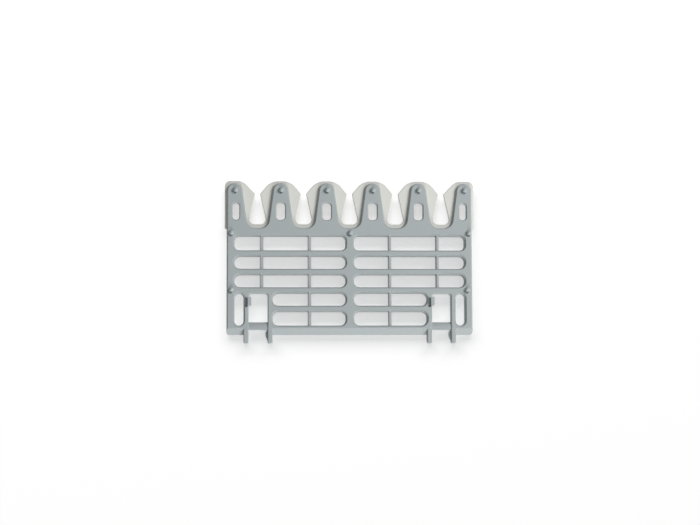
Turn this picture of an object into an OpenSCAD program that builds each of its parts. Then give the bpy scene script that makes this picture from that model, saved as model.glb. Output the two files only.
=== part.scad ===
// Cup rack for a dishwasher basket, lying on its back with its face up.
// A hard grey frame of slots and tines carries a soft pale comb that holds glasses by the stem.
// X runs along the row of tines, +Y points out along the tines, +Z points out of the face.
// Heights in the plan are measured from the lower edge of the bottom rail.

/* [Frame] */
// Width of the frame across the row of tines
frame_w = 245.8; // [244:0.2:248]
// Depth of the rails and bars from back to face
frame_t = 10; // [9:0.5:14]
// How far the face edges are rounded back in plan
edge_run = 1.6; // [0.8:0.1:1.8]
// Width of the slope along the bottom rail
skirt_run = 6.2; // [3:0.2:7]
// Height of the vertical strip below that slope
skirt_foot = 3; // [1:0.5:5]

/* [Tines] */
// Spacing of the tines and of the notches between them
pitch = 46; // [45.5:0.1:46.2]
// Thickness of the plate that the tines are part of
tine_t = 3.6; // [3.2:0.2:4.6]
// Radius of the round tine tips
tip_r = 8.2; // [7.6:0.1:8.4]
// Height of the centre of the round tips
tip_y = 143.9; // [140:0.1:146]
// Lean of the tine sides from upright, in degrees
tine_lean = 7.7; // [6.5:0.1:8.5]
// Height of the floor of the notches
notch_floor = 107; // [106.5:0.5:109]
// Radius of the lower corners of the notches
notch_r = 8.5; // [7:0.5:9]
// Width of the hole in each inner tine
tine_hole_w = 8.8; // [6:0.2:9]
// Width of the hole in the two end tines
end_hole_w = 6.8; // [5:0.2:7.4]
// Height of the holes in the tines
tine_hole_h = 17; // [12:0.2:18]
// Height of the middle of those holes
tine_hole_y = 123.2; // [122:0.2:126]

/* [Grid] */
// Width of the post in the middle of the frame
post_w = 8.5; // [7:0.5:10]
// Width of the side rails
side_rail_w = 7.8; // [7:0.2:9]
// Height of the lowest slot's lower edge
grid_low = 9.2; // [8.8:0.2:10]
// Height of the top slot's upper edge
grid_high = 98.6; // [98:0.2:100]
// Spacing of the bars between the rows of slots
bar_pitch = 18.5; // [18.3:0.1:18.6]
// Height of the middle of the lowest bar
bar_y = 25.9; // [25.5:0.1:26.2]
// Width of the bars
bar_w = 6.2; // [5.6:0.2:7]
// Distance of the inner and of the outer thin ribs from the middle
rib_x = [40.2, 88]; // [38:0.2:90]
// Width of the thin ribs at their crest
rib_w = 2; // [1.6:0.2:2.8]

/* [Clips] */
// Distance of the middle of each clip from the middle of the frame
clip_x = 91.5; // [91:0.5:92]
// Width over the two legs of a clip
clip_w = 29; // [28.5:0.5:30]
// Width of one leg
leg_w = 5; // [4.6:0.2:5.6]
// How far the legs reach below the lower edge
leg_drop = 8.8; // [6:0.2:10]
// Height of the latch finger in the first leg of each clip
latch_h = 9; // [6:0.5:10]

/* [Comb] */
// Thickness of the soft comb
comb_t = 3.2; // [2.4:0.2:3.6]
// Overall width of the comb
comb_w = 249.6; // [249.4:0.2:252]
// Height of the top of the comb
comb_top = 154.1; // [153.6:0.1:155]
// Gap at the neck of each stem notch
neck_gap = 5; // [4.4:0.2:6]
// Widest part of each stem notch
stem_w = 15.5; // [14:0.5:16]
// Height of the floor of the stem notches
stem_floor = 110.6; // [110:0.2:112]

/* [Studs] */
// Radius of the small round studs on the face
stud_r = 2.6; // [2.2:0.1:2.7]
// Radius of the dimple that each stud stands in
dimple_r = 3; // [2.8:0.1:3.2]
// Depth of that dimple
dimple_deep = 2; // [1:0.2:2.4]

/* [Hidden] */
$fn = 64;
over = 1;
grey = "#a3aaab";
pale = "#d5d6d0";

half_w = frame_w / 2;
frame_r = 3.2;
plate_z = frame_t - tine_t;
shelf_y = 105.4;
tine_hole_r = 3.3;
origin_y = (comb_top - leg_drop) / 2;

// The tines stand at the spacing of the notches, apart from the two at the ends, which fill the width.
tines = 6;
notch_x = [for (i = [0:tines - 2]) (i - (tines - 2) / 2) * pitch];
notch_half = pitch / 2 - tip_r / cos(tine_lean);
end_tip_r = (half_w - notch_x[tines - 2] - notch_half) / (1 + 1 / cos(tine_lean));
end_hole_shift = 1.2;

grid_rows = 5;
slot_in = post_w / 2;
slot_out = half_w - side_rail_w;
slot_r = 5.6;
top_slot_r = 4.6;
clip_in = clip_x - clip_w / 2;
clip_out = clip_x + clip_w / 2;
clip_top = 40.9;
window_r = 2.5;

// Walls over the depth as [growth, height] pairs: upright at the back, a little draft, then the rounded
// edge, whose slope goes on past the face so that the face can be cut flat.
draft_z = 5;
edge_z = frame_t - 1.7;
edge_draft = 0.4;
edge_slope = (edge_run - edge_draft) / (frame_t - edge_z);
spare = over / 2;
cut_walls = [[0, -over], [0, draft_z], [edge_draft, edge_z], [edge_run + over * edge_slope, frame_t + over]];
rim_walls = [[0, -spare], [0, draft_z], [-edge_draft, edge_z],
             [-edge_run - spare * edge_slope, frame_t + spare]];
fine_drop = 1.2;
fine_slope = 0.75;
fine_cut_walls = [[0, -over], [0, frame_t - fine_drop], [(fine_drop + over) * fine_slope, frame_t + over]];
leg_draft = 0.2;
leg_edge = 0.8;
leg_walls = [[0, -spare], [-leg_draft, frame_t - leg_edge],
             [-leg_edge - spare * fine_slope, frame_t + spare]];

function place(c) = [c[0], c[1]];

// Outward direction of the line that touches two circles, which follow each other anticlockwise.
function touch_normal(a, b) =
    let (d = place(b) - place(a), n = norm(d), s = (a[2] - b[2]) / n)
    [d[1], -d[0]] / n * sqrt(1 - s * s) + d / n * s;

// Corner circles of an upright rectangle, as [x, y, radius].
function box_corners(x0, y0, x1, y1, r) =
    [[x0 + r, y0 + r, r], [x1 - r, y0 + r, r], [x1 - r, y1 - r, r], [x0 + r, y1 - r, r]];

// The straight wall that joins two corner circles.
module wall(a, b, walls) {
    n = touch_normal(a, b);
    p = place(a) + n * a[2];
    q = place(b) + n * b[2];
    inside = -1.2 * max(a[2], b[2]);
    last = len(walls) - 1;
    translate([q[0], q[1], 0])
        rotate([90, 0, atan2(n[1], n[0])])
            linear_extrude(norm(q - p))
                polygon(concat(walls, [[inside, walls[last][1]], [inside, walls[0][1]]]));
}

// The round wall about one corner circle.
module corner(c, walls) {
    last = len(walls) - 1;
    translate([c[0], c[1], 0])
        rotate_extrude()
            polygon(concat([[0, walls[0][1]]],
                           [for (w = walls) [c[2] + w[0], w[1]]],
                           [[0, walls[last][1]]]));
}

// A solid that spans its corner circles, anticlockwise, with walls given as [growth, height] pairs.
module walled(circles, walls) {
    count = len(circles);
    low = walls[0][1];
    if (count > 2)
        translate([0, 0, low])
            linear_extrude(walls[len(walls) - 1][1] - low)
                polygon([for (c = circles) place(c)]);
    for (i = [0:count - 1]) {
        wall(circles[i], circles[(i + 1) % count], walls);
        corner(circles[i], walls);
    }
}

module both_sides() {
    children();
    mirror([1, 0, 0]) children();
}

// The whole rack is built from its lower edge and then moved onto its origin.
module seated() {
    translate([0, -origin_y, 0]) children();
}

function tine_x(i) =
    i == 0 ? -half_w + end_tip_r : i == tines - 1 ? half_w - end_tip_r : (i - (tines - 1) / 2) * pitch;

// The U between two tines, from its floor up past the tips.
module notch_cut(x) {
    low = notch_floor + notch_r;
    high = comb_top + notch_r;
    function half_at(y) = notch_half - (tip_y - y) * tan(tine_lean) - notch_r / cos(tine_lean);
    walled([[x - half_at(low), low, notch_r], [x + half_at(low), low, notch_r],
            [x + half_at(high), high, notch_r], [x - half_at(high), high, notch_r]], cut_walls);
}

// Places of the holes in the tines, as [x, width].
tine_holes = [for (i = [0:tines - 1])
    i == 0 ? [tine_x(i) + end_hole_shift, end_hole_w]
    : i == tines - 1 ? [tine_x(i) - end_hole_shift, end_hole_w]
    : [tine_x(i), tine_hole_w]];

module tine_hole_cuts() {
    for (h = tine_holes)
        walled(box_corners(h[0] - h[1] / 2, tine_hole_y - tine_hole_h / 2,
                           h[0] + h[1] / 2, tine_hole_y + tine_hole_h / 2, tine_hole_r), fine_cut_walls);
}

// Rails, plate and tines in one piece, flat on the back and on the face, before the slots.
// The tips stand a hair wider than the tines they end, so that the two cross cleanly.
tip_swell = 0.05;
tip_join = 0.5;
module frame_blank() {
    intersection() {
        union() {
            difference() {
                walled(box_corners(-half_w, 0, half_w, comb_top, frame_r), rim_walls);
                for (x = notch_x) notch_cut(x);
                translate([-half_w - over, tip_y + tip_join, -2 * over])
                    cube([frame_w + 2 * over, comb_top, frame_t + 4 * over]);
            }
            for (i = [0:tines - 1])
                let (r = i == 0 || i == tines - 1 ? end_tip_r : tip_r)
                    corner([tine_x(i), tip_y, r + tip_swell], rim_walls);
        }
        translate([-half_w - over, -over, 0])
            cube([frame_w + 2 * over, comb_top + over, frame_t]);
    }
}

// The room behind the plate, where the comb sits.
module comb_bay() {
    translate([-half_w - over, shelf_y, -over])
        cube([frame_w + 2 * over, comb_top - shelf_y, plate_z + over]);
}

// Two slots in each row, and the outer ends stop short at the clips in the two lowest rows.
module slot_cuts() {
    for (row = [0:grid_rows - 1]) {
        low = row == 0 ? grid_low : bar_y + (row - 1) * bar_pitch + bar_w / 2;
        high = row == grid_rows - 1 ? grid_high : bar_y + row * bar_pitch - bar_w / 2;
        end = row < 2 ? clip_in : slot_out;
        r = row == grid_rows - 1 ? top_slot_r : slot_r;
        both_sides() walled(box_corners(slot_in, low, end, high, r), cut_walls);
    }
}

// Upright slots beside the clips, round at both ends.
module end_slot_cuts() {
    r = (slot_out - clip_out) / 2;
    x = clip_out + r;
    both_sides() walled([[x, grid_low + r, r], [x, clip_top - r, r]], cut_walls);
}

// Open space between the two legs of each clip, down through the bottom rail.
module clip_window_cuts() {
    both_sides()
        walled(box_corners(clip_in + leg_w, -2 * window_r, clip_out - leg_w, clip_top, window_r),
               fine_cut_walls);
}

// Slope along the outside of the bottom rail.
module skirt_cut() {
    translate([half_w + over, 0, 0])
        rotate([90, 0, -90])
            linear_extrude(frame_w + 2 * over)
                polygon([[over, skirt_foot - over * (frame_t - skirt_foot) / skirt_run],
                         [-skirt_run - over * skirt_run / (frame_t - skirt_foot), frame_t + over],
                         [over, frame_t + over]]);
}

// Thin upright ribs across the slots, their crests just below the face and their ends inside the rails.
rib_drop = 0.9;
rib_back = 1.5;
rib_flare = 0.7;
rib_root = 2;
module ribs() {
    crest = frame_t - rib_drop;
    top = grid_high + rib_root;
    for (i = [0, 1]) {
        low = i == 0 ? grid_low - rib_root : bar_y + bar_pitch;
        both_sides()
            translate([rib_x[i], top, 0])
                rotate([90, 0, 0])
                    linear_extrude(top - low)
                        polygon([[-rib_w / 2 - rib_flare, rib_back], [rib_w / 2 + rib_flare, rib_back],
                                 [rib_w / 2, crest], [-rib_w / 2, crest]]);
    }
}

// One leg below the bottom rail, with its end rounded off from the side and in plan.
leg_r = 1.4;
foot_r = 4.5;
module leg() {
    top = grid_low;
    intersection() {
        walled(box_corners(0, -leg_drop, leg_w, top, leg_r), leg_walls);
        translate([-over, 0, 0])
            rotate([90, 0, 90])
                linear_extrude(leg_w + 2 * over)
                    union() {
                        translate([-leg_drop + foot_r, 0]) square([leg_drop + top - foot_r, frame_t]);
                        translate([-leg_drop + foot_r, foot_r]) circle(foot_r);
                        translate([-leg_drop, foot_r]) square([foot_r, frame_t - foot_r]);
                    }
    }
}

// Small barb on the left of the second leg, below the cross bar, as [distance from the leg, height].
barb_z = 6.5;
barb_sink = 0.5;
barb_side = [[-barb_sink, 4.9], [0.6, 4.4], [1.9, 2.6], [2.2, 0.8], [1.9, -1.4], [-barb_sink, -7]];
module barb() {
    linear_extrude(barb_z)
        polygon([for (p = barb_side) [-p[0], p[1]]]);
}

// Bar that ties the two legs of a clip together. Its section, as [height, depth], has a lip below,
// a crest just under the face, and a slope that falls away towards the window.
bar_low = 4.9;
bar_high = 12.4;
clip_bar_section = [[bar_low, 0], [bar_high, 0], [bar_high, 3.6], [bar_high - 0.5, 4.3],
                    [bar_low + 2.3, 8.5], [bar_low + 1.5, 8.8], [bar_low, 7.8]];
module clip_bar() {
    translate([leg_w - over, 0, 0])
        rotate([90, 0, 90])
            linear_extrude(clip_w - 2 * leg_w + 2 * over)
                polygon(clip_bar_section);
}

// Pocket in the first leg that sets the latch finger free from its face.
latch_drop = 12.2;
latch_y = [clip_top - latch_drop, clip_top - latch_drop + latch_h];
pocket_x = [0.9, 4];
pocket_r = 1.2;
pocket_z = 4;
pocket_slope = fine_slope / 2;
pocket_walls = [[0, pocket_z], [0, frame_t - fine_drop], [(fine_drop + over) * pocket_slope, frame_t + over]];
module latch_pocket() {
    walled(box_corners(pocket_x[0], latch_y[0] - pocket_r,
                       pocket_x[1], latch_y[1] - pocket_r / 2, pocket_r), pocket_walls);
}

// Latch finger that leans out of the leg into the window, with soft outer corners.
finger_r = 1.4;
finger_root_r = 0.6;
finger_x = [4.6, 6.3];
finger_walls = [[0, 2], [0, frame_t - 0.8], [-0.4, frame_t - 0.4]];
module latch_finger() {
    walled([[finger_x[0], latch_y[0] + finger_root_r, finger_root_r],
            [finger_x[1], latch_y[0] + finger_r, finger_r],
            [finger_x[1], latch_y[1] - finger_r, finger_r],
            [finger_x[0], latch_y[1] - finger_root_r, finger_root_r]], finger_walls);
}

module clip_details() {
    leg();
    translate([clip_w - leg_w, 0, 0]) {
        leg();
        barb();
    }
    clip_bar();
    latch_finger();
}

clip_starts = [-clip_out, clip_in];

// Places of the studs: one near each tip, three along the plate, and one above each clip.
plate_stud_y = 100.8;
clip_stud_y = 43.8;
stud_in = 4;
clip_stud_in = 5.9;
studs = concat([for (i = [0:tines - 1]) [tine_x(i), tip_y]],
               [for (x = [-half_w + stud_in, 0, half_w - stud_in]) [x, plate_stud_y]],
               [[-half_w + stud_in, clip_stud_y], [half_w - clip_stud_in, clip_stud_y]]);

// Round dimples, open on the lower left of each stud.
dimple_shift = [-1.05, -0.5];
module dimples() {
    for (s = studs)
        translate([s[0] + dimple_shift[0], s[1] + dimple_shift[1], frame_t - dimple_deep])
            cylinder(h = dimple_deep + over, r = dimple_r);
}

// Round studs with domed tops, standing on the upper right of their dimples.
stud_shift = [0.95, 1.2];
stud_sink = 0.5;
stud_foot = 0.4;
module stud_domes() {
    foot = dimple_deep + stud_foot - stud_sink;
    for (s = studs)
        translate([s[0] + stud_shift[0], s[1] + stud_shift[1], frame_t - stud_sink])
            rotate_extrude()
                union() {
                    intersection() {
                        circle(stud_r);
                        square(stud_r);
                    }
                    translate([0, -foot]) square([stud_r, foot]);
                }
}

module rack_frame() {
    color(grey) seated() {
        difference() {
            union() {
                difference() {
                    frame_blank();
                    comb_bay();
                    tine_hole_cuts();
                    slot_cuts();
                    end_slot_cuts();
                    clip_window_cuts();
                    skirt_cut();
                }
                ribs();
            }
            for (x = clip_starts) translate([x, 0, 0]) latch_pocket();
            dimples();
        }
        for (x = clip_starts) translate([x, 0, 0]) clip_details();
        stud_domes();
    }
}

// Line of the stem notch's side: half its width at a height.
neck_y = 141.2;
wide_y = 117;
function stem_half(y) = stem_w / 2 - (y - wide_y) * (stem_w - neck_gap) / 2 / (neck_y - wide_y);

// Crowns of the comb, as [half of the flat top, radius of its corners], between the notches and at the ends.
crown = [9.8, 16.5];
end_crown = [8.1, 12];

// Corners round one stem notch, from right to left: a crown, the tip of a leaf, the floor, and back up.
leaf_r = 1.5;
floor_r = 5;
function stem_notch_points(x, right, left) =
    let (neck = neck_gap / 2, floor_half = stem_half(stem_floor))
    [[x + pitch / 2 - right[0], comb_top, right[1]], [x + neck, neck_y, leaf_r],
     [x + floor_half, stem_floor, floor_r], [x - floor_half, stem_floor, floor_r],
     [x - neck, neck_y, leaf_r], [x - pitch / 2 + left[0], comb_top, left[1]]];

// The comb's outline: a straight foot just off the frame's shelf, square outer ends, and the notches.
comb_foot = shelf_y + 0.2;
comb_foot_r = 1;
comb_end_r = 5.5;
comb_points = concat(
    [[-comb_w / 2, comb_foot, comb_foot_r], [comb_w / 2, comb_foot, comb_foot_r],
     [comb_w / 2, comb_top, comb_end_r]],
    [for (i = [tines - 2:-1:0])
        each stem_notch_points(notch_x[i], i == tines - 2 ? end_crown : crown, i == 0 ? end_crown : crown)],
    [[-comb_w / 2, comb_top, comb_end_r]]);

// A flat outline with every corner rounded by its own radius, given as [x, y, radius] anticlockwise.
// The whole circle of each outward corner has to lie inside the outline.
module rounded_outline(points) {
    count = len(points);
    corners = [for (i = [0:count - 1])
        let (v = place(points[i]),
             back = place(points[(i + count - 1) % count]) - v,
             on = place(points[(i + 1) % count]) - v,
             u = back / norm(back),
             w = on / norm(on),
             half = acos(u * w) / 2,
             reach = points[i][2] / tan(half))
        [v + u * reach, v + w * reach, v + (u + w) / norm(u + w) * points[i][2] / sin(half),
         u[0] * w[1] - u[1] * w[0]]];
    difference() {
        union() {
            polygon([for (c = corners) each [c[0], c[1]]]);
            for (i = [0:count - 1])
                if (corners[i][3] < 0) translate(corners[i][2]) circle(points[i][2]);
        }
        for (i = [0:count - 1])
            if (corners[i][3] > 0) translate(corners[i][2]) circle(points[i][2]);
    }
}

module stem_grip() {
    color(pale) seated()
        translate([0, 0, plate_z - comb_t])
            linear_extrude(comb_t)
                difference() {
                    rounded_outline(comb_points);
                    for (h = tine_holes)
                        translate([0, tine_hole_y - tine_hole_h / 2])
                            rounded_outline([[h[0] - h[1] / 2, 0, tine_hole_r],
                                             [h[0] + h[1] / 2, 0, tine_hole_r],
                                             [h[0] + h[1] / 2, tine_hole_h, tine_hole_r],
                                             [h[0] - h[1] / 2, tine_hole_h, tine_hole_r]]);
                }
}

rack_frame();
stem_grip();
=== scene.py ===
import math
import bpy
import bmesh
import numpy as np
from mathutils import Matrix, Vector
from mathutils.geometry import tessellate_polygon


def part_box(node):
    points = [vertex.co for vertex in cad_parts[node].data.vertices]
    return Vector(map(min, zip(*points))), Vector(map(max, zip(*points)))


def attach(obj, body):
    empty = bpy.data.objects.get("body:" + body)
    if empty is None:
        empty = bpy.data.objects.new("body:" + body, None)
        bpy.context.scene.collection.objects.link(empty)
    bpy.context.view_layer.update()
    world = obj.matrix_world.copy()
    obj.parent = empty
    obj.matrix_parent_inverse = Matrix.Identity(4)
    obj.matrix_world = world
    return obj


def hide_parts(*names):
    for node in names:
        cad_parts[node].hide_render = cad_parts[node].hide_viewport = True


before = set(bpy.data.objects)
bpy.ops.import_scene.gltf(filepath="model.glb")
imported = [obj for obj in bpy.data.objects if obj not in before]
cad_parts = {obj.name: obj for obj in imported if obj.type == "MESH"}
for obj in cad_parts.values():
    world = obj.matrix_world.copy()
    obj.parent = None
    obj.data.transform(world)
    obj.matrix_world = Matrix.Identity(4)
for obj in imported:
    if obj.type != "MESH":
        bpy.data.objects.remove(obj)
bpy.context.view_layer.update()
scene = bpy.context.scene
white = (1, 1, 1, 1)
print("frame loaded")


# A node's output that can stand in a sum or a product; each operation adds a Math node.
class Wire:
    def __init__(self, paint, socket):
        self.paint = paint
        self.socket = socket

    def maths(self, operation, first, second):
        return self.paint.node("ShaderNodeMath", {"operation": operation}, {0: first, 1: second})

    def __add__(self, other):
        return self.maths("ADD", self, other)

    def __radd__(self, other):
        return self.maths("ADD", other, self)

    def __sub__(self, other):
        return self.maths("SUBTRACT", self, other)

    def __rsub__(self, other):
        return self.maths("SUBTRACT", other, self)

    def __mul__(self, other):
        return self.maths("MULTIPLY", self, other)

    def __rmul__(self, other):
        return self.maths("MULTIPLY", other, self)


# The emptied node tree of a new material or world, with its output.
class Paint:
    def __init__(self, owner, ending="ShaderNodeOutputMaterial"):
        self.owner = owner
        self.owner.use_nodes = True
        self.tree = self.owner.node_tree
        self.tree.nodes.clear()
        self.output = self.tree.nodes.new(ending)

    def node(self, kind, settings, inputs, out=0):
        # a new node with its settings, and a value or a link for each socket named
        new = self.tree.nodes.new(kind)
        for name, setting in settings.items():
            setattr(new, name, setting)
        for name, value in inputs.items():
            if isinstance(value, Wire):
                self.tree.links.new(value.socket, new.inputs[name])
            else:
                new.inputs[name].default_value = value
        return Wire(self, new.outputs[out])

    def finish(self, surface):
        self.tree.links.new(surface.socket, self.output.inputs["Surface"])
        return self.owner


def plastic(name, look):
    # moulded plastic: one colour with a faint cloudy drift, a fine spark-eroded grain, soft flow waves
    paint = Paint(bpy.data.materials.new(name))
    place = paint.node("ShaderNodeTexCoord", {}, {}, "Object")
    cloud, grain, wave = (
        paint.node("ShaderNodeTexNoise", {}, {"Vector": place, "Scale": look[kind + "Scale"],
                                              "Detail": look[kind + "Detail"]})
        for kind in ("cloud", "grain", "wave"))
    shade = (cloud - 0.5) * look["cloud"] + (grain - 0.5) * look["grain"] + 1.0
    colour = paint.node("ShaderNodeVectorMath", {"operation": "SCALE"}, {0: look["colour"], "Scale": shade})
    rough = (grain - 0.5) * look["roughGrain"] + (cloud - 0.5) * look["roughCloud"] + look["roughness"]
    soft = paint.node("ShaderNodeBump", {}, {"Strength": look["wave"], "Distance": look["waveDepth"],
                                             "Height": wave})
    bump = paint.node("ShaderNodeBump", {}, {"Strength": look["bump"], "Distance": look["bumpDepth"],
                                             "Height": grain, "Normal": soft})
    return paint.finish(paint.node("ShaderNodeBsdfPrincipled", {}, {
        "Base Color": colour, "Roughness": rough, "Normal": bump, "IOR": look["ior"],
        "Specular IOR Level": look["specular"]}))


framePlastic = {
    "colour": (0.366, 0.402, 0.407),
    "cloudScale": 22.0, "cloudDetail": 3.0, "cloud": 0.05,
    "grainScale": 1400.0, "grainDetail": 2.0, "grain": 0.06,
    "roughness": 0.40, "roughGrain": 0.14, "roughCloud": 0.06,
    "bump": 0.35, "bumpDepth": 0.00012,
    "waveScale": 60.0, "waveDetail": 1.0, "wave": 0.12, "waveDepth": 0.0004,
    "ior": 1.49, "specular": 0.5,
}
combPlastic = {
    "colour": (0.665, 0.672, 0.631),
    "cloudScale": 25.0, "cloudDetail": 3.0, "cloud": 0.03,
    "grainScale": 1200.0, "grainDetail": 2.0, "grain": 0.03,
    "roughness": 0.58, "roughGrain": 0.1, "roughCloud": 0.05,
    "bump": 0.2, "bumpDepth": 0.0001,
    "waveScale": 45.0, "waveDetail": 1.0, "wave": 0.1, "waveDepth": 0.0004,
    "ior": 1.45, "specular": 0.4,
}
frameMaterial = plastic("framePlastic", framePlastic)
combMaterial = plastic("combPlastic", combPlastic)
print("materials made")


def readAll(items, name, width=1, kind=float):
    # one property of all faces or corners as a numpy array
    values = np.empty(len(items) * width, dtype=kind)
    items.foreach_get(name, values)
    return values.reshape(-1, width) if width > 1 else values


# Faces whose tilt and height differ by less than these are taken as one plane.
tiltStep, heightStep = 0.002, 0.00001


def shadeRound(mesh, sharpAngle):
    # Each corner takes the mean direction of the faces round its point that lie within the sharp angle of
    # its own face. A face counts by the area of the whole plane it is part of, so flat sides stay flat.
    normal, centre = readAll(mesh.polygons, "normal", 3), readAll(mesh.polygons, "center", 3)
    height = (normal * centre).sum(axis=1)
    plane = np.round(np.column_stack([normal / tiltStep, height / heightStep])).astype(int)
    plane = np.unique(plane, axis=0, return_inverse=True)[1].ravel()
    weight = np.bincount(plane, weights=readAll(mesh.polygons, "area"))[plane]
    face = np.repeat(np.arange(len(normal)), readAll(mesh.polygons, "loop_total", kind=int))
    point = readAll(mesh.loops, "vertex_index", kind=int)
    # every pair of corners that meet at one point
    count = np.bincount(point)
    first = np.repeat(np.arange(len(point)), count[point])
    within = np.arange(len(first)) - np.repeat(np.cumsum(count[point]) - count[point], count[point])
    second = np.argsort(point, kind="stable")[(np.cumsum(count) - count)[point[first]] + within]
    mine, other = face[first], face[second]
    close = (normal[mine] * normal[other]).sum(axis=1) > math.cos(math.radians(sharpAngle))
    total = np.zeros((len(point), 3))
    np.add.at(total, first[close], (weight[:, None] * normal)[other[close]])
    mesh.shade_smooth()
    mesh.normals_split_custom_set((total / np.linalg.norm(total, axis=1, keepdims=True)).tolist())


def dress(mesh, piece, material):
    # paints a finished mesh, and says what it rides on and stands for
    mesh.materials.clear()
    mesh.materials.append(material)
    shadeRound(mesh, piece["sharpAngle"])
    thing = bpy.data.objects.new(piece["name"], mesh)
    scene.collection.objects.link(thing)
    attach(thing, "root")
    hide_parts(piece["node"])
    return thing


rack = {
    "node": "rack_frame", "name": "rackMoulding", "slot": "frame_plastic",
    "mergeDistance": 2e-6,
    "sharpAngle": 35.0,   # edges below this angle are shaded round
    "dimpleFloor": 0.008, "dimpleRaised": 0.0084,
    "rim": -0.1215,       # left of this a dimple runs into the outer wall
    "pocketFloor": 0.004, "pocketRaised": 0.006,
    "barSection": [       # edges along a clip's cross bar as (y, z), and the place that each one moves to
        ((-0.06025, 0.0036), (-0.06025, 0.0058)),
        ((-0.06075, 0.0043), (-0.06075, 0.0072)),
        ((-0.06545, 0.0085), (-0.06285, 0.0084)),
        ((-0.06625, 0.0088), (-0.06655, 0.0088)),
        ((-0.06775, 0.0078), (-0.06775, 0.0085)),
    ],
}


def soften(mesh, piece):
    # Three small forms are cut less deep than in the solids, so that their shade is soft: the dimples
    # beside the studs and the latch pockets get a higher floor, and the top of each cross bar rises
    # steeply and then levels out.
    place = readAll(mesh.vertices, "co", 3)
    x, y, z = place.T
    near = 0.00001
    z[(abs(z - piece["dimpleFloor"]) < near) & (x > piece["rim"])] = piece["dimpleRaised"]
    z[abs(z - piece["pocketFloor"]) < near] = piece["pocketRaised"]
    for (fromY, fromZ), (toY, toZ) in piece["barSection"]:
        edge = (abs(y - fromY) < near) & (abs(z - fromZ) < near)
        y[edge], z[edge] = toY, toZ
    mesh.vertices.foreach_set("co", place.ravel())
    mesh.update()


def makeRack(piece):
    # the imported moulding's own surface, its loose triangles joined
    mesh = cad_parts[piece["node"]].data.copy()
    mesh.name = piece["name"]
    shape = bmesh.new()
    shape.from_mesh(mesh)
    bmesh.ops.remove_doubles(shape, verts=shape.verts, dist=piece["mergeDistance"])
    shape.to_mesh(mesh)
    shape.free()
    soften(mesh, piece)
    return dress(mesh, piece, frameMaterial)


# The comb's sizes are metres; drops are measured down from its top edge.
comb = {
    "node": "stem_grip", "name": "stemComb", "slot": "comb_plastic",
    "notches": 5, "pitch": 0.046,
    "footRadius": 0.001, "endRadius": 0.0055,
    "crown": 0.0098, "crownRadius": 0.0165,
    "endCrown": 0.0081, "endCrownRadius": 0.012,
    "neckGap": 0.005, "neckDrop": 0.0129, "leafRadius": 0.0015,
    "stemWide": 0.0155, "wideDrop": 0.0371, "floorDrop": 0.0435, "floorRadius": 0.005,
    "holeDrop": 0.0309, "holeTall": 0.017, "holeRadius": 0.0033,
    "holeWide": 0.0088, "endHoleWide": 0.0068, "endHoleAt": 0.11365,
    "edgeRadius": 0.0008, "edgeSteps": 5, "arcSteps": 14,
    "sharpAngle": 40.0,
}


def roundedPath(corners, steps):
    # A closed path round corners [x, y, radius], anticlockwise. Each corner is an arc on the circle that
    # touches both of its sides; n is the outward direction and r the arc's radius, below zero where the
    # corner is hollow, so that centre + n * (r - inset) is the same path moved inwards by the inset.
    place, radius = corners[:, :2], corners[:, 2]
    back = np.roll(place, 1, axis=0) - place
    on = np.roll(place, -1, axis=0) - place
    back /= np.linalg.norm(back, axis=1, keepdims=True)
    on /= np.linalg.norm(on, axis=1, keepdims=True)
    half = np.arccos((back * on).sum(axis=1)) / 2
    turn = np.sign(back[:, 1] * on[:, 0] - back[:, 0] * on[:, 1])
    middle = (back + on) / np.linalg.norm(back + on, axis=1, keepdims=True)
    centre = place + middle * (radius / np.sin(half))[:, None]
    start = np.arctan2(back[:, 0], -back[:, 1])
    angle = start[:, None] + (turn * (np.pi - 2 * half))[:, None] * np.linspace(0, 1, steps)
    n = np.stack([np.cos(angle), np.sin(angle)], axis=-1).reshape(-1, 2)
    return np.repeat(centre, steps, axis=0), n, np.repeat(turn * radius, steps)


def combCorners(piece, low, high):
    # foot, right end, then each notch from right to left: a crown, a leaf's tip, the floor, and back up
    top = high.y
    neckY, floorY, wideY = (top - piece[drop] for drop in ("neckDrop", "floorDrop", "wideDrop"))
    neck, wide = piece["neckGap"] / 2, piece["stemWide"] / 2
    floor = wide + (wideY - floorY) * (wide - neck) / (neckY - wideY)
    at = (np.arange(piece["notches"])[::-1] - (piece["notches"] - 1) / 2) * piece["pitch"]
    onRight, onLeft = at == at.max(), at == at.min()
    crownRight = np.where(onRight, piece["endCrown"], piece["crown"])
    crownLeft = np.where(onLeft, piece["endCrown"], piece["crown"])
    roundRight = np.where(onRight, piece["endCrownRadius"], piece["crownRadius"])
    roundLeft = np.where(onLeft, piece["endCrownRadius"], piece["crownRadius"])
    half = piece["pitch"] / 2

    def oneInEach(x, y, radius):
        return np.stack(np.broadcast_arrays(x, y, radius), axis=1)

    notch = np.stack([
        oneInEach(at + half - crownRight, top, roundRight),
        oneInEach(at + neck, neckY, piece["leafRadius"]),
        oneInEach(at + floor, floorY, piece["floorRadius"]),
        oneInEach(at - floor, floorY, piece["floorRadius"]),
        oneInEach(at - neck, neckY, piece["leafRadius"]),
        oneInEach(at - half + crownLeft, top, roundLeft),
    ], axis=1).reshape(-1, 3)
    foot = [[low.x, low.y, piece["footRadius"]], [high.x, low.y, piece["footRadius"]],
            [high.x, top, piece["endRadius"]]]
    return np.concatenate([foot, notch, [[low.x, top, piece["endRadius"]]]])


def holeCorners(piece, top, x, wide):
    # an upright hole, clockwise, so that its outward direction points into the hole
    low = top - piece["holeDrop"] - piece["holeTall"] / 2
    high = low + piece["holeTall"]
    r = piece["holeRadius"]
    return np.array([[x - wide / 2, low, r], [x - wide / 2, high, r], [x + wide / 2, high, r],
                     [x + wide / 2, low, r]])


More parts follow.
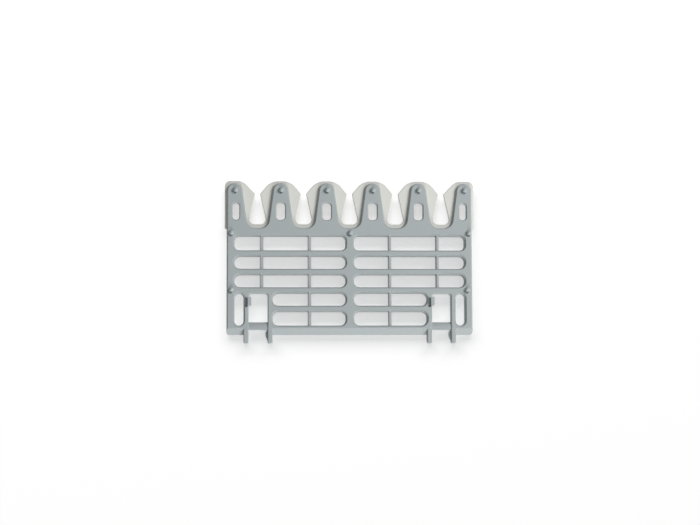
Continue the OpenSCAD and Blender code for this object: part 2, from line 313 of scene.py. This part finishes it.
def makeComb(piece):
    # A flat strip with rounded edges. Its profile is a quarter circle at the back, where
    # inset = edge (1 - sin a) and z = low + edge (1 - cos a), and one at the face, where
    # inset = edge (1 - cos a) and z = high - edge (1 - sin a), with a straight side between them.
    # It is carried round the outline and round every hole.
    low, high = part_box(piece["node"])
    edge = piece["edgeRadius"]
    a = np.linspace(0, np.pi / 2, piece["edgeSteps"])
    inset = np.concatenate([edge * (1 - np.sin(a)), edge * (1 - np.cos(a))])
    z = np.concatenate([low.z + edge * (1 - np.cos(a)), high.z - edge * (1 - np.sin(a))])
    inner = (np.arange(1, piece["notches"]) - piece["notches"] / 2) * piece["pitch"]
    holes = [(x, piece["holeWide"]) for x in inner]
    holes += [(side * piece["endHoleAt"], piece["endHoleWide"]) for side in (-1, 1)]
    outlines = [combCorners(piece, low, high)] + [holeCorners(piece, high.y, x, wide) for x, wide in holes]
    points, faces, lowRings, highRings, count = [], [], [], [], 0
    for corners in outlines:
        centre, n, r = roundedPath(corners, piece["arcSteps"])
        plan = centre + n * (r - inset[:, None])[:, :, None]
        rows, columns = plan.shape[:2]
        depth = np.broadcast_to(z[:, None, None], (rows, columns, 1))
        points.append(np.concatenate([plan, depth], axis=2).reshape(-1, 3))
        grid = count + np.arange(rows * columns).reshape(rows, columns)
        after = np.roll(grid, -1, axis=1)
        faces.append(np.stack([grid[:-1], after[:-1], after[1:], grid[1:]], axis=-1).reshape(-1, 4))
        lowRings.append(grid[0])
        highRings.append(grid[-1])
        count += rows * columns
    points = np.concatenate(points)
    for rings, flip in ((highRings, False), (lowRings, True)):
        index = np.concatenate(rings)
        cap = index[np.array(tessellate_polygon([[Vector(p) for p in points[ring]] for ring in rings]))]
        first, second, third = points[cap[:, 0]], points[cap[:, 1]], points[cap[:, 2]]
        up = np.cross(second - first, third - first)[:, 2] > 0
        faces.append(np.where((up ^ flip)[:, None], cap, cap[:, ::-1]))
    mesh = bpy.data.meshes.new(piece["name"])
    mesh.from_pydata(points.tolist(), [], [face for group in faces for face in group.tolist()])
    return dress(mesh, piece, combMaterial)


rackMoulding = makeRack(rack)
stemComb = makeComb(comb)
print("pieces made")


floorPlan = {
    "half": 3.0, "drop": 0.0002,
    "colour": (0.86, 0.86, 0.86, 1),
    "lift": 0.50,   # what the paper adds to its own light where a lens or a reflection sees it
}


def seen(paint):
    # one where a lens, a reflection or a view through glass looks at it, and nothing for plain light
    return (paint.node("ShaderNodeLightPath", {}, {}, "Is Camera Ray")
            + paint.node("ShaderNodeLightPath", {}, {}, "Is Glossy Ray")
            + paint.node("ShaderNodeLightPath", {}, {}, "Is Transmission Ray"))


def makeFloor(plan):
    # a flat square of pale paper, just below the part
    half = plan["half"]
    corners = np.array([[-1, -1, 0], [1, -1, 0], [1, 1, 0], [-1, 1, 0]]) * half - [0, 0, plan["drop"]]
    mesh = bpy.data.meshes.new("floor")
    mesh.from_pydata(corners.tolist(), [], [(0, 1, 2, 3)])
    paint = Paint(bpy.data.materials.new("floorPaper"))
    paper = paint.node("ShaderNodeBsdfDiffuse", {}, {"Color": plan["colour"]})
    glow = paint.node("ShaderNodeEmission", {}, {"Color": white, "Strength": seen(paint) * plan["lift"]})
    mesh.materials.append(paint.finish(paint.node("ShaderNodeAddShader", {}, {0: paper, 1: glow})))
    thing = bpy.data.objects.new("floor", mesh)
    scene.collection.objects.link(thing)
    return thing


floor = makeFloor(floorPlan)

studio = {
    "skyStrength": 0.22,
    "key": {"power": 35.5, "wide": 1.0, "tall": 1.0, "distance": 2.2, "azimuth": 25.0, "elevation": 45.0},
    "fill": {"power": 34.0, "wide": 1.0, "tall": 0.6, "distance": 2.2, "azimuth": -80.0, "elevation": 20.0},
    "drop": {"power": 365.0, "wide": 9.2, "tall": 2.6, "distance": 6.0, "azimuth": 96.0, "elevation": 31.0},
}


def softBox(name, plan, lit):
    # a lamp that looks at the middle of the part and lights only what is listed
    lamp = bpy.data.lights.new(name, "AREA")
    lamp.shape = "RECTANGLE"
    lamp.size, lamp.size_y = plan["wide"], plan["tall"]
    lamp.energy = plan["power"]
    thing = bpy.data.objects.new(name, lamp)
    scene.collection.objects.link(thing)
    around, up = math.radians(plan["azimuth"]), math.radians(plan["elevation"])
    away = Vector((math.cos(around) * math.cos(up), math.sin(around) * math.cos(up), math.sin(up)))
    thing.location = away * plan["distance"]
    thing.rotation_euler = away.to_track_quat("Z", "Y").to_euler()
    group = bpy.data.collections.new(name + "Lights")
    for each in lit:
        group.objects.link(each)
    thing.light_linking.receiver_collection = group


def makeSky(strength):
    # an even dome of light that looks plain white to a lens or in a reflection
    paint = Paint(bpy.data.worlds.new("studioSky"), "ShaderNodeOutputWorld")
    shown = seen(paint) * (1 - strength) + strength
    return paint.finish(paint.node("ShaderNodeBackground", {}, {"Color": white, "Strength": shown}))


scene.world = makeSky(studio["skyStrength"])
softBox("keyBox", studio["key"], [rackMoulding, stemComb])
softBox("fillBox", studio["fill"], [rackMoulding, stemComb])
softBox("dropBox", studio["drop"], [floor])

view = {
    "target": (0.0001, -0.0008, 0.010), "distance": 1.8,
    "leanWest": 3.0, "leanSouth": 5.5, "roll": -0.214,
    "focalPixels": 1803.7, "imageWidth": 700, "sensor": 36.0,
    "near": 0.1, "far": 20.0,
}


def makeCamera(view):
    # looks down on the face from a little to the left and below; the roll keeps the rows level
    lens = bpy.data.cameras.new("camera")
    lens.sensor_width = view["sensor"]
    lens.lens = view["focalPixels"] / view["imageWidth"] * view["sensor"]
    lens.clip_start, lens.clip_end = view["near"], view["far"]
    west, south, roll = (math.radians(view[turn]) for turn in ("leanWest", "leanSouth", "roll"))
    back = Vector((-math.sin(west), -math.sin(south), 0))
    back.z = math.sqrt(1 - back.length_squared)
    level = Vector((0, 1, 0)).cross(back).normalized()
    right = math.cos(roll) * level + math.sin(roll) * back.cross(level)
    up = back.cross(right)
    thing = bpy.data.objects.new("camera", lens)
    thing.matrix_world = Matrix((right, up, back)).transposed().to_4x4()
    thing.matrix_world.translation = Vector(view["target"]) + back * view["distance"]
    scene.collection.objects.link(thing)
    scene.camera = thing


makeCamera(view)
scene.view_settings.view_transform = "Standard"
print("stage, light and camera made")
